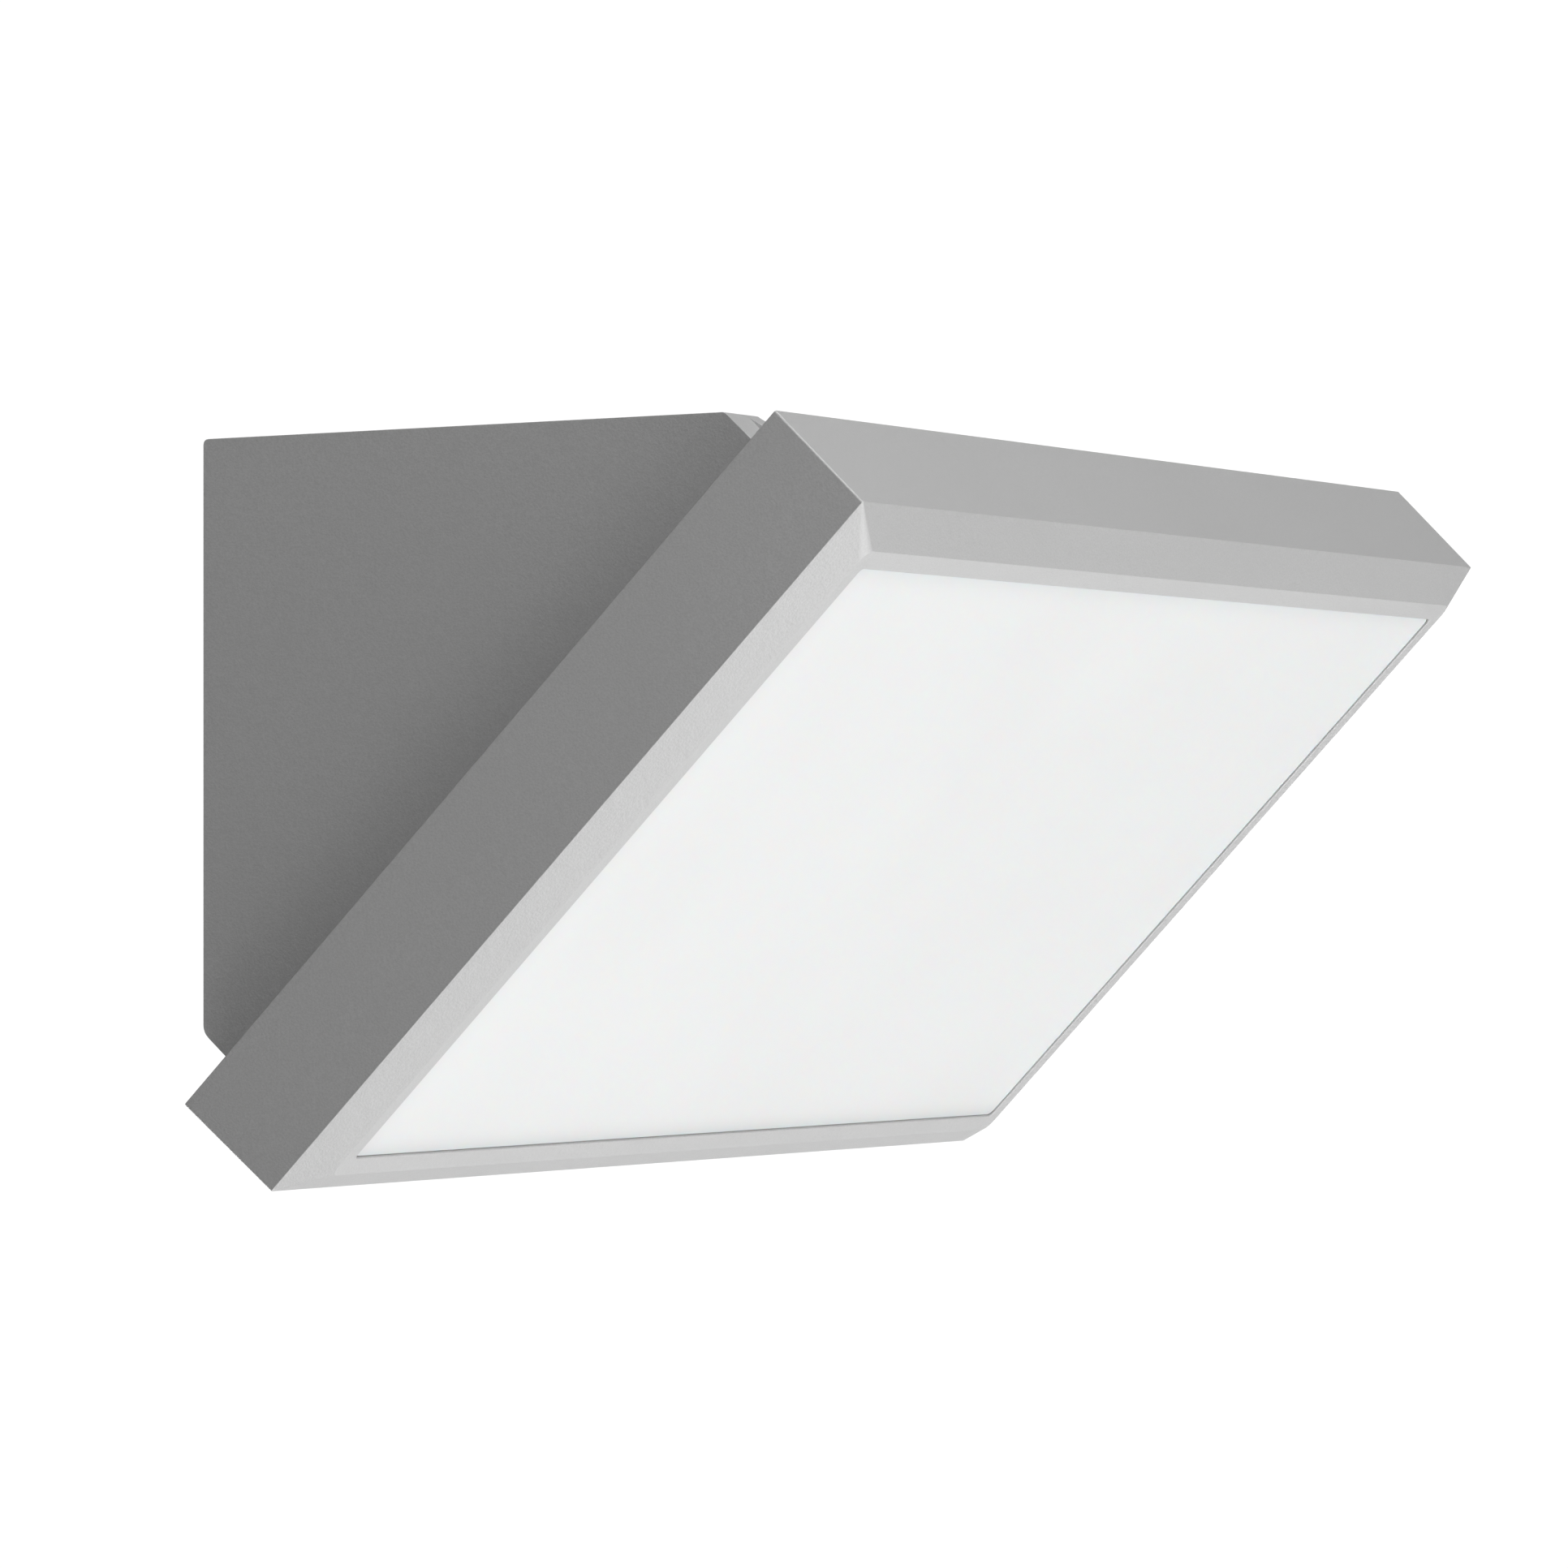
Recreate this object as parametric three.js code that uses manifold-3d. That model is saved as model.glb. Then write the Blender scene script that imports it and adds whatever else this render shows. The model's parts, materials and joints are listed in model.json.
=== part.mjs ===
// Outdoor wall lantern: a wedge-shaped cast housing on the wall carries a flat rectangular LED head, tilted
// down and hinged along its top edge. Millimetres, +Z up, the wall is the plane y = 0 and the room is at -y.
import * as THREE from 'three';
import { mergeVertices } from 'three/addons/utils/BufferGeometryUtils.js';
import Module from 'manifold-3d';

const wasm = await Module();
wasm.setup();

// ---- driving dimensions ----
const GAP = 0.3; // clearance between neighbouring pieces

// head: a flat box whose back leans away from the wall. Its own axes are x, v up the slope and n outwards.
const HEAD_WIDTH = 300;
const HEAD_HEIGHT = 151.4;
const HEAD_DEPTH = 20.85; // from the back edge to the outer edge of the bezel
const TILT = THREE.MathUtils.degToRad(43.43); // slope of the head, from the vertical
const DRAFT = 0.55; // how much wider the casting is at its back edge, each side
const BEZEL_INSET = 6.84;
const BEZEL_RISE = 3.72;
const BEZEL_STRIP = 3.8; // flat strip between the bezel and the diffuser
const DIFFUSER_RECESS = 0.4;
const HEAD_WALL = 3;
const HEAD_CORNER = 0.5;
const BEZEL_CORNER = 2.4; // corner radius of the bezel's inner edge
const WALL_CLEARANCE = 3; // from the wall to the head's lowest back edge
const HEAD_BACK_EDGE_Z = -59.8;

// housing on the wall
const BASE_WIDTH = 277.2;
const BASE_WALL = 2.5;
const BASE_TOP_Z = 48.84;
const BASE_TOP_V = 142.84; // where the housing's top chamfer meets the head, along the slope
const BASE_BOTTOM_V = 6;
const RIDGE_N = -10.55; // top ridge, behind the head's back plane
const RIM_N = -1.2; // sealing rim, behind the head's back plane
const RIM_FLANGE = 2.5;
const OPENING_TOP_V = 133.1;
const REAR_TOP_RADIUS = 1; // rounding of the housing's profile at the wall
const REAR_LOW_RADIUS = 1.3;
const FRONT_EDGE_RADIUS = 0.5;

// hinge along the housing's top front edge
const HINGE_V = 140.1;
const HINGE_N = -4.6;
const EAR_RADIUS = 3.9;
const KNUCKLE_RADIUS = 3.4;
const PIN_RADIUS = 1.5;
const EAR_START = 8.6; // first ear, from the housing's side
const EAR_WIDTH = 5;
const KNUCKLE_WIDTH = 19.3;
const NOTCH_WIDTH = 20.7;
const NOTCH_BACK_N = -14; // the knuckle's notch runs back through the housing's ridge
const NOTCH_WALL = 2;

// head layers, distances forward of the back edge
const COVER_BACK_N = 0.3;
const COVER_FRONT_N = 2.3;
const REBATE_DEPTH = 4;
const REBATE_WALL = 1.5;
const LIP_BACK_N = 22.3;
const DIFFUSER_WALL = 2.2;
const FLANGE_BACK_N = 18.9;
const FLANGE_FRONT_N = 20.6;
const FLANGE_OFFSET = 8.2; // outer edge of the diffuser's flange, in from the head's outline
const TRAY_BACK_N = 6;
const TRAY_FLOOR = 1;
const BOSS_OFFSET = 5.6; // screw bosses, in from the head's outline
const STRIP_OFFSET = BEZEL_INSET + BEZEL_STRIP;
const FRONT_N = HEAD_DEPTH + BEZEL_RISE;

// housing furniture
const PLATE_THICKNESS = 2;
const PLATE_OFFSET = 6.1;
const CABLE_X = -38;
const CABLE_Z = -14;
const LEAD_V = 90.8; // where the lead enters the head
const CLAMP_X = 100;
const CLAMP_N = -5.2;

const SIDES = [-1, 1];
const CURVE_STEPS = 16;

// ---- materials ----
function finish(colour, roughness, metalness) {
  return new THREE.MeshStandardMaterial({ color: colour, roughness, metalness });
}
const powderCoat = () => finish(0x9c9ea1, 0.55, 0.35);
const opal = () => finish(0xf4f5f4, 0.35, 0);
const rubber = () => finish(0x1d1e20, 0.85, 0);
const zincSteel = () => finish(0xb9bcbf, 0.35, 0.9);
const stainless = () => finish(0xc6c8ca, 0.28, 0.95);
const whiteSheet = () => finish(0xf2f2ef, 0.4, 0.05);
const brass = () => finish(0xc9a44c, 0.35, 0.9);
const plainPlastic = (colour) => finish(colour, 0.5, 0);

// ---- solids ----
function solid(geometry) {
  const bare = geometry.index ? geometry.clone() : geometry;
  bare.deleteAttribute('normal');
  bare.deleteAttribute('uv');
  const merged = mergeVertices(bare, 1e-4);
  return new wasm.Manifold(new wasm.Mesh({
    numProp: 3,
    vertProperties: new Float32Array(merged.attributes.position.array),
    triVerts: new Uint32Array(merged.index.array),
  }));
}

function join(first, ...others) {
  return others.reduce((body, other) => body.add(other), first);
}

function cut(first, ...others) {
  return others.reduce((body, other) => body.subtract(other), first);
}

function geometryOf(body) {
  const mesh = body.getMesh();
  const geometry = new THREE.BufferGeometry();
  geometry.setAttribute('position', new THREE.BufferAttribute(Float32Array.from(mesh.vertProperties), 3));
  geometry.setIndex(new THREE.BufferAttribute(Uint32Array.from(mesh.triVerts), 1));
  geometry.computeVertexNormals();
  return geometry;
}

// block from low to high corner, each [x, n, z]; n is the distance outwards, so y = -n
function block(low, high) {
  const size = low.map((value, i) => high[i] - value);
  const geometry = new THREE.BoxGeometry(...size);
  geometry.translate((low[0] + high[0]) / 2, -(low[1] + high[1]) / 2, (low[2] + high[2]) / 2);
  return solid(geometry);
}

// rounded rectangle outline, as points around its centre
function outline(width, height, radius, centreZ) {
  const points = [];
  const cornerSteps = 3;
  const corners = [[1, 1, 0], [-1, 1, 1], [-1, -1, 2], [1, -1, 3]];
  for (const [sx, sz, quarter] of corners) {
    for (let i = 0; i <= cornerSteps; i += 1) {
      const angle = (quarter + i / cornerSteps) * Math.PI / 2;
      points.push([
        sx * (width / 2 - radius) + radius * Math.cos(angle),
        centreZ + sz * (height / 2 - radius) + radius * Math.sin(angle),
      ]);
    }
  }
  return points;
}

// solid through a stack of rounded rectangles; each section is {width, height, radius, z, n}, n rising
function loft(sections) {
  const rings = sections.map((s) => outline(s.width, s.height, s.radius, s.z));
  const count = rings[0].length;
  const positions = [];
  rings.forEach((ring, level) => ring.forEach(([x, z]) => positions.push(x, -sections[level].n, z)));
  const index = [];
  for (let level = 0; level < rings.length - 1; level += 1) {
    for (let i = 0; i < count; i += 1) {
      const j = (i + 1) % count;
      const a = level * count + i;
      const b = level * count + j;
      index.push(a, b, b + count, a, b + count, a + count);
    }
  }
  const last = (rings.length - 1) * count;
  for (let i = 1; i < count - 1; i += 1) {
    index.push(0, i + 1, i);
    index.push(last, last + i, last + i + 1);
  }
  const geometry = new THREE.BufferGeometry();
  geometry.setAttribute('position', new THREE.Float32BufferAttribute(positions, 3));
  geometry.setIndex(index);
  return solid(geometry);
}

// section of the head, offset inwards from its outline
function headSection(offset, n, radius = 1) {
  return {
    width: HEAD_WIDTH - 2 * offset, height: HEAD_HEIGHT - 2 * offset, radius, z: HEAD_HEIGHT / 2, n,
  };
}

// section of the housing's rear opening, offset inwards from an outline one wall outside it
function rearSection(offset, n, radius = 1) {
  const innerV = BASE_BOTTOM_V + BASE_WALL;
  const low = slope(innerV, rearNAt(innerV))[1] - BASE_WALL + offset;
  const high = BASE_TOP_Z - offset;
  return { width: BASE_WIDTH - 2 * offset, height: high - low, radius, z: (low + high) / 2, n };
}

// flat ring between two offsets
function ring(section, outerOffset, innerOffset, n0, n1) {
  const outer = loft([section(outerOffset, n0), section(outerOffset, n1)]);
  const inner = loft([section(innerOffset, n0 - 1), section(innerOffset, n1 + 1)]);
  return cut(outer, inner);
}

// round solid about the y axis; profile is [radius, y] from the low end of the axis to the high end
function turned(profile) {
  const points = profile.map(([radius, y]) => new THREE.Vector2(radius, y));
  return solid(new THREE.LatheGeometry(points, CURVE_STEPS));
}

// round bar pointing outwards, from n0 to n1
function rod(radius, x, n0, n1, z) {
  const geometry = new THREE.CylinderGeometry(radius, radius, n1 - n0, CURVE_STEPS);
  return solid(geometry.translate(x, -(n0 + n1) / 2, z));
}

// round bar along x
function crossRod(radius, x0, x1, n, z, steps = CURVE_STEPS) {
  const geometry = new THREE.CylinderGeometry(radius, radius, x1 - x0, steps);
  return solid(geometry.rotateZ(Math.PI / 2).translate((x0 + x1) / 2, -n, z));
}

// round bar up the slope or up the wall
function uprightRod(radius, x, n, z0, z1) {
  const geometry = new THREE.CylinderGeometry(radius, radius, z1 - z0, CURVE_STEPS);
  return solid(geometry.rotateX(Math.PI / 2).translate(x, -n, (z0 + z1) / 2));
}

// prism along x from a list of [y, z] corners
function prism(corners, x0, x1) {
  const shape = new THREE.Shape(corners.map(([y, z]) => new THREE.Vector2(y, z)));
  const geometry = new THREE.ExtrudeGeometry(shape, { depth: x1 - x0, bevelEnabled: false });
  const basis = new THREE.Matrix4().makeBasis(
    new THREE.Vector3(0, 1, 0), new THREE.Vector3(0, 0, 1), new THREE.Vector3(1, 0, 0));
  return solid(geometry.applyMatrix4(basis).translate(x0, 0, 0));
}

// prism along the outward direction from a THREE.Shape drawn in x and z
function plate(shape, n0, n1) {
  const geometry = new THREE.ExtrudeGeometry(shape, { depth: n1 - n0, bevelEnabled: false });
  return solid(geometry.rotateX(Math.PI / 2).translate(0, -n0, 0));
}

// upright slot with round ends
function slotShape(x, z, length, width) {
  const shape = new THREE.Shape();
  const reach = (length - width) / 2;
  shape.absarc(x, z + reach, width / 2, 0, Math.PI, false);
  shape.absarc(x, z - reach, width / 2, Math.PI, 2 * Math.PI, false);
  return shape;
}

// tube along a smooth path through the given points, with square-cut ends
function tube(points, radius, steps) {
  const path = new THREE.CatmullRomCurve3(points.map((p) => new THREE.Vector3(...p)));
  const section = new THREE.Shape();
  section.absarc(0, 0, radius, 0, 2 * Math.PI, false);
  return solid(new THREE.ExtrudeGeometry(section, {
    extrudePath: path, steps, curveSegments: 4, bevelEnabled: false,
  }));
}

// screw along +y with its head's top at the origin; a countersunk head tapers into the shank
function screw({ headRadius, headHeight, shankRadius, length, countersunk = false }) {
  const underHead = countersunk ? [] : [[headRadius, headHeight]];
  const body = turned([
    [0, 0], [headRadius, 0], ...underHead, [shankRadius, headHeight],
    [shankRadius, length - shankRadius * 0.6], [shankRadius * 0.4, length], [0, length],
  ]);
  const arm = headRadius * 0.6;
  const blade = headRadius * 0.14;
  const depth = headHeight * 0.55;
  const recess = join(
    block([-arm, -depth, -blade], [arm, depth, blade]),
    block([-blade, -depth, -arm], [blade, depth, arm]),
  );
  return cut(body, recess);
}

// places between the head's slope axes and the room: [y, z] of a point v up the slope and n outwards
function slope(v, n) {
  return [
    -WALL_CLEARANCE - v * Math.sin(TILT) - n * Math.cos(TILT),
    HEAD_BACK_EDGE_Z + v * Math.cos(TILT) - n * Math.sin(TILT),
  ];
}

// ---- scene graph ----
const lantern = new THREE.Group();
const housing = new THREE.Group();
const head = new THREE.Group();
const slopeGroup = new THREE.Group(); // housing pieces that sit square to the head
head.rotation.x = TILT;
head.position.set(0, ...slope(0, 0));
slopeGroup.rotation.copy(head.rotation);
slopeGroup.position.copy(head.position);
lantern.add(housing, head, slopeGroup);

function piece(parent, name, body, material, position = [0, 0, 0], rotation = [0, 0, 0]) {
  const mesh = new THREE.Mesh(geometryOf(body), material);
  mesh.name = name;
  mesh.position.set(...position);
  mesh.rotation.set(...rotation);
  parent.add(mesh);
}

const OUTWARDS = [Math.PI, 0, 0];
const UPSLOPE = [Math.PI / 2, 0, 0];

// a body built in the slope's axes, moved into the room's axes
function fromSlope(body) {
  const geometry = geometryOf(body);
  slopeGroup.updateMatrix();
  return solid(geometry.applyMatrix4(slopeGroup.matrix));
}

// ---- housing ----
const HALF_BASE = BASE_WIDTH / 2;
const INNER_HALF = HALF_BASE - BASE_WALL;

// side profile with its corners rounded, as [y, z] points; each corner is [y, z, radius]
function roundedProfile(corners) {
  const steps = 4;
  return corners.flatMap(([y, z, radius], i) => {
    const at = new THREE.Vector2(y, z);
    const towards = (corner) => new THREE.Vector2(corner[0], corner[1]).sub(at).normalize();
    const before = towards(corners[(i + corners.length - 1) % corners.length]);
    const after = towards(corners[(i + 1) % corners.length]);
    const start = at.clone().addScaledVector(before, radius);
    const end = at.clone().addScaledVector(after, radius);
    const curve = new THREE.QuadraticBezierCurve(start, at, end);
    return curve.getPoints(steps).map((point) => [point.x, point.y]);
  });
}

function housingWedge() {
  const rearBottomZ = slope(BASE_BOTTOM_V, rearNAt(BASE_BOTTOM_V))[1];
  return roundedProfile([
    [0, BASE_TOP_Z, REAR_TOP_RADIUS],
    [...slope(BASE_TOP_V, RIDGE_N), FRONT_EDGE_RADIUS],
    [...slope(BASE_TOP_V, RIM_N), FRONT_EDGE_RADIUS],
    [...slope(BASE_BOTTOM_V, RIM_N), FRONT_EDGE_RADIUS],
    [0, rearBottomZ, REAR_LOW_RADIUS],
  ]);
}

// n at which a line v up the slope reaches the wall
function rearNAt(v) {
  return -(WALL_CLEARANCE + v * Math.sin(TILT)) / Math.cos(TILT);
}

function housingCavity() {
  const topV = BASE_TOP_V - BASE_WALL;
  const frontN = RIM_N - RIM_FLANGE;
  const bottomV = BASE_BOTTOM_V + BASE_WALL;
  const [ridgeY, ridgeZ] = slope(topV, RIDGE_N);
  return prism([
    [1, BASE_TOP_Z - BASE_WALL],
    [ridgeY + 1, ridgeZ],
    slope(topV, frontN),
    slope(bottomV, frontN),
    slope(bottomV, rearNAt(bottomV) - 2),
  ], -INNER_HALF, INNER_HALF);
}

// x range of a feature measured in from the housing's side, on the side given by its sign
function fromSide(side, start, width) {
  const near = side * (HALF_BASE - start);
  const far = side * (HALF_BASE - start - width);
  return [Math.min(near, far), Math.max(near, far)];
}

const NOTCH_START = EAR_START + EAR_WIDTH;
const INNER_EAR_START = NOTCH_START + NOTCH_WIDTH;
const HINGE_BLOCK_WIDTH = INNER_EAR_START + EAR_WIDTH - EAR_START;

function ear(side, start) {
  const [x0, x1] = fromSide(side, start, EAR_WIDTH);
  const disc = crossRod(EAR_RADIUS, x0, x1, HINGE_N, HINGE_V, 24);
  const leanAngle = THREE.MathUtils.degToRad(14);
  const crest = [
    -(HINGE_N - EAR_RADIUS * Math.sin(leanAngle)),
    HINGE_V + EAR_RADIUS * Math.cos(leanAngle),
  ];
  const web = prism([
    [-HINGE_N, HINGE_V],
    crest,
    [-RIDGE_N - 0.4, BASE_TOP_V - 0.02],
    [-RIDGE_N - 0.4, HINGE_V - 2],
  ], x0, x1);
  return join(disc, web);
}

// block of solid metal that carries two ears and surrounds the notch between them
function housingHinge(side) {
  const [low, high] = fromSide(side, EAR_START, HINGE_BLOCK_WIDTH);
  const filled = fromSlope(block(
    [low, NOTCH_BACK_N - NOTCH_WALL, OPENING_TOP_V], [high, RIM_N, BASE_TOP_V + 1]));
  const inside = filled.intersect(prism(housingWedge(), low, high));
  return join(inside, fromSlope(ear(side, EAR_START)), fromSlope(ear(side, INNER_EAR_START)));
}

function hingeCuts(side) {
  const [notchLow, notchHigh] = fromSide(side, NOTCH_START, NOTCH_WIDTH);
  const notch = block([notchLow, NOTCH_BACK_N, HINGE_V - EAR_RADIUS], [notchHigh, 2, BASE_TOP_V + 6]);
  const [boreLow, boreHigh] = fromSide(side, EAR_START + 1.6, HINGE_BLOCK_WIDTH);
  const bore = crossRod(PIN_RADIUS + GAP, boreLow, boreHigh, HINGE_N, HINGE_V);
  return join(notch, bore);
}

const LUG_X = 128.5;
const LUG_Z = 37;
const LUG_SIZE = 9;
const LUG_BACK = PLATE_THICKNESS + GAP;
const LUG_FRONT = 8;
const VENT_X = 55;
const VENT_RADIUS = 2.6;

function housingCasting() {
  const shell = prism(housingWedge(), -HALF_BASE, HALF_BASE);
  const opening = block(
    [-INNER_HALF, RIM_N - RIM_FLANGE - 1, BASE_BOTTOM_V + BASE_WALL], [INNER_HALF, 2, OPENING_TOP_V]);
  let body = cut(shell, housingCavity(), fromSlope(opening));
  body = join(body, ...SIDES.map(housingHinge));
  body = cut(body, ...SIDES.map((side) => fromSlope(hingeCuts(side))));
  for (const sx of SIDES) {
    for (const sz of SIDES) {
      const [x0, x1] = fromSide(sx, BASE_WALL - 1, HALF_BASE - BASE_WALL + 1 - LUG_X + LUG_SIZE / 2);
      const lug = block(
        [x0, LUG_BACK, sz * LUG_Z - LUG_SIZE / 2], [x1, LUG_FRONT, sz * LUG_Z + LUG_SIZE / 2]);
      const hole = rod(2.3, sx * LUG_X, 0, LUG_FRONT + 1, sz * LUG_Z);
      body = cut(join(body, lug), hole);
    }
  }
  const clampHoles = SIDES.map((side) => {
    const straight = uprightRod(1.8, side * CLAMP_X, CLAMP_N, BASE_BOTTOM_V - 1, BASE_BOTTOM_V + 4);
    const sink = turned([[0, -0.1], [3.2, -0.1], [1.8, 2], [0, 2]]);
    return fromSlope(join(straight, placed(sink, [side * CLAMP_X, -CLAMP_N, BASE_BOTTOM_V], UPSLOPE)));
  });
  const ventHole = fromSlope(
    uprightRod(VENT_RADIUS, VENT_X, CLAMP_N, BASE_BOTTOM_V - 1, BASE_BOTTOM_V + 4));
  return cut(body, ...clampHoles, ventHole);
}

// a body turned and moved, for cutting
function placed(body, position, rotation) {
  const matrix = new THREE.Matrix4().compose(
    new THREE.Vector3(...position),
    new THREE.Quaternion().setFromEuler(new THREE.Euler(...rotation)),
    new THREE.Vector3(1, 1, 1));
  return solid(geometryOf(body).applyMatrix4(matrix));
}

const SLOT_X = 112;
const SLOT_Z = 4;
const EARTH_X = -64;
const EARTH_Z = -33;
const DRIVER = { x: 65, z: 28, halfHeight: 14, back: PLATE_THICKNESS + GAP, front: 24 };
const DRIVER_EAR = 9;
const TERMINAL = { x: -80, z: -12, width: 36, height: 16, front: 17 };

function wallPlate() {
  const body = loft([rearSection(PLATE_OFFSET, 0, 2), rearSection(PLATE_OFFSET, PLATE_THICKNESS, 2)]);
  const through = (radius, x, z) => rod(radius, x, -1, PLATE_THICKNESS + 1, z);
  const holes = [through(8, CABLE_X, CABLE_Z), through(1.8, EARTH_X, EARTH_Z)];
  for (const sx of SIDES) {
    holes.push(plate(slotShape(sx * SLOT_X, SLOT_Z, 16, 5.5), -1, PLATE_THICKNESS + 1));
    holes.push(through(1.8, sx * (DRIVER.x + DRIVER_EAR / 2), DRIVER.z));
    holes.push(through(1.8, TERMINAL.x + sx * 14, TERMINAL.z));
    for (const sz of SIDES) {
      holes.push(through(2.3, sx * LUG_X, sz * LUG_Z));
    }
  }
  return cut(body, ...holes);
}

piece(housing, 'housing_casting', housingCasting(), powderCoat());
piece(housing, 'wall_plate', wallPlate(), zincSteel());
piece(housing, 'wall_gasket',
  ring(rearSection, BASE_WALL + GAP, PLATE_OFFSET - GAP, 0, PLATE_THICKNESS), rubber());

const panScrewM4 = { headRadius: 3.6, headHeight: 2.4, shankRadius: 1.9, length: 10.2 };
const panScrewM3 = { headRadius: 2.7, headHeight: 1.9, shankRadius: 1.45, length: 5.8 };
const flatScrewM3 = {
  headRadius: 2.8, headHeight: 1.6, shankRadius: 1.45, length: 11.5, countersunk: true,
};

SIDES.forEach((sx, i) => SIDES.forEach((sz, j) => {
  piece(housing, `housing_screw_${2 * i + j + 1}`, screw(panScrewM4), zincSteel(),
    [sx * LUG_X, -(LUG_FRONT + GAP + panScrewM4.headHeight), sz * LUG_Z]);
}));

function cableGrommet() {
  const back = PLATE_THICKNESS + GAP;
  return turned([
    [4, 0.2], [7.6, 0.2], [7.6, back], [10.6, back],
    [10.6, back + 1.4], [7, back + 3], [4, back + 3], [4, 0.2],
  ]);
}
piece(housing, 'cable_grommet', cableGrommet(), rubber(), [CABLE_X, 0, CABLE_Z], OUTWARDS);

function driverCase() {
  const top = DRIVER.z + DRIVER.halfHeight;
  const low = DRIVER.z - DRIVER.halfHeight;
  const base = block([-DRIVER.x, DRIVER.back, low], [DRIVER.x, DRIVER.front - 2, top]);
  const lid = block([-DRIVER.x + 2, DRIVER.front - 2.5, low + 2], [DRIVER.x - 2, DRIVER.front, top - 2]);
  const ears = SIDES.map((side) => {
    const tab = block(
      [Math.min(side * (DRIVER.x - 1), side * (DRIVER.x + DRIVER_EAR)), DRIVER.back, DRIVER.z - 6],
      [Math.max(side * (DRIVER.x - 1), side * (DRIVER.x + DRIVER_EAR)), DRIVER.back + 2, DRIVER.z + 6]);
    return cut(tab, rod(1.8, side * (DRIVER.x + DRIVER_EAR / 2), 0, 10, DRIVER.z));
  });
  return join(base, lid, ...ears);
}
piece(housing, 'led_driver', driverCase(), plainPlastic(0xdcdcd6));
SIDES.forEach((side, i) => {
  piece(housing, `driver_screw_${i + 1}`, screw(panScrewM3), zincSteel(),
    [side * (DRIVER.x + DRIVER_EAR / 2), -(DRIVER.back + 2 + GAP + panScrewM3.headHeight), DRIVER.z]);
});

// three-way terminal block: wire entries at the top and bottom of each way, two screw wells at its front
function terminalBlock() {
  const back = PLATE_THICKNESS + GAP;
  const left = TERMINAL.x - TERMINAL.width / 2;
  const low = TERMINAL.z - TERMINAL.height / 2;
  let body = block([left, back, low], [left + TERMINAL.width, back + 8, low + TERMINAL.height]);
  for (let way = 0; way < 3; way += 1) {
    const x = TERMINAL.x + (way - 1) * 12;
    const tower = block([x - 4.6, back + 7, low], [x + 4.6, TERMINAL.front, low + TERMINAL.height]);
    const wells = SIDES.map((side) => rod(2.2, x,
      TERMINAL.front - 6, TERMINAL.front + 1, TERMINAL.z + side * 4));
    const entries = SIDES.map((side) => uprightRod(2, x, back + 5,
      TERMINAL.z + side * 5 - 4, TERMINAL.z + side * 5 + 4));
    body = cut(join(body, tower), ...wells, ...entries);
  }
  return body;
}
piece(housing, 'terminal_block', terminalBlock(), plainPlastic(0xe8e6dc));
piece(housing, 'earth_screw', screw({ ...panScrewM3, headRadius: 3.4, length: 4.8 }), brass(),
  [EARTH_X, -(PLATE_THICKNESS + GAP + 1.2 + panScrewM3.headHeight), EARTH_Z]);

// internal leads, from the terminal block to the driver
const TERMINAL_TOP = TERMINAL.z + TERMINAL.height / 2;
const LEAD_DEPTH = PLATE_THICKNESS + GAP + 5;
function mainsLead(way, drop) {
  const x = TERMINAL.x + way * 12;
  return tube([
    [x, -LEAD_DEPTH, TERMINAL_TOP - 3],
    [x, -LEAD_DEPTH, TERMINAL_TOP + 6],
    [x + 1, -LEAD_DEPTH - 3, DRIVER.z - drop - 8],
    [-DRIVER.x - 6, -LEAD_DEPTH - 5, DRIVER.z - drop],
    [-DRIVER.x - GAP, -LEAD_DEPTH - 5, DRIVER.z - drop],
  ], 1.2, 20);
}
piece(housing, 'mains_lead_live', mainsLead(0, 6), plainPlastic(0x6b3a22));
piece(housing, 'mains_lead_neutral', mainsLead(-1, 0), plainPlastic(0x2b5fa8));

// head, seals and hinge that ride on the housing
function rimGasket() {
  const low = BASE_BOTTOM_V + GAP;
  const high = OPENING_TOP_V + 2.7;
  const width = BASE_WIDTH - 2 * GAP;
  const middle = (low + high) / 2;
  const wall = 2.2;
  const at = (inset, n) => ({
    width: width - 2 * inset, height: high - low - 2 * inset, radius: 1, z: middle, n,
  });
  const n0 = RIM_N + GAP;
  const outer = loft([at(0, n0), at(0, n0 + 0.9)]);
  return cut(outer, loft([at(wall, n0 - 1), at(wall, n0 + 2)]));
}
piece(slopeGroup, 'rim_gasket', rimGasket(), rubber());

const PIN_LENGTH = HINGE_BLOCK_WIDTH - 2.4;
SIDES.forEach((side, i) => {
  const [, high] = fromSide(side, EAR_START + 2, PIN_LENGTH);
  const pin = turned([
    [0, 0], [PIN_RADIUS - 0.3, 0], [PIN_RADIUS, 0.4], [PIN_RADIUS, PIN_LENGTH - 0.4],
    [PIN_RADIUS - 0.3, PIN_LENGTH], [0, PIN_LENGTH],
  ]);
  piece(slopeGroup, `hinge_pin_${i + 1}`, pin, stainless(), [high, -HINGE_N, HINGE_V], [0, 0, Math.PI / 2]);
});

const CLAMP_NUT_V = BASE_BOTTOM_V + BASE_WALL + 2.9;
SIDES.forEach((side, i) => {
  piece(slopeGroup, `clamp_screw_${i + 1}`, screw(flatScrewM3), stainless(),
    [side * CLAMP_X, -CLAMP_N, BASE_BOTTOM_V + 0.1], UPSLOPE);
  const nut = cut(
    block([-4.5, -3.2, 0], [4.5, 3.2, 2.6]),
    uprightRod(1.8, 0, 0, -1, 4));
  piece(slopeGroup, `clamp_nut_${i + 1}`, nut, zincSteel(), [side * CLAMP_X, -CLAMP_N, CLAMP_NUT_V]);
});

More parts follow.
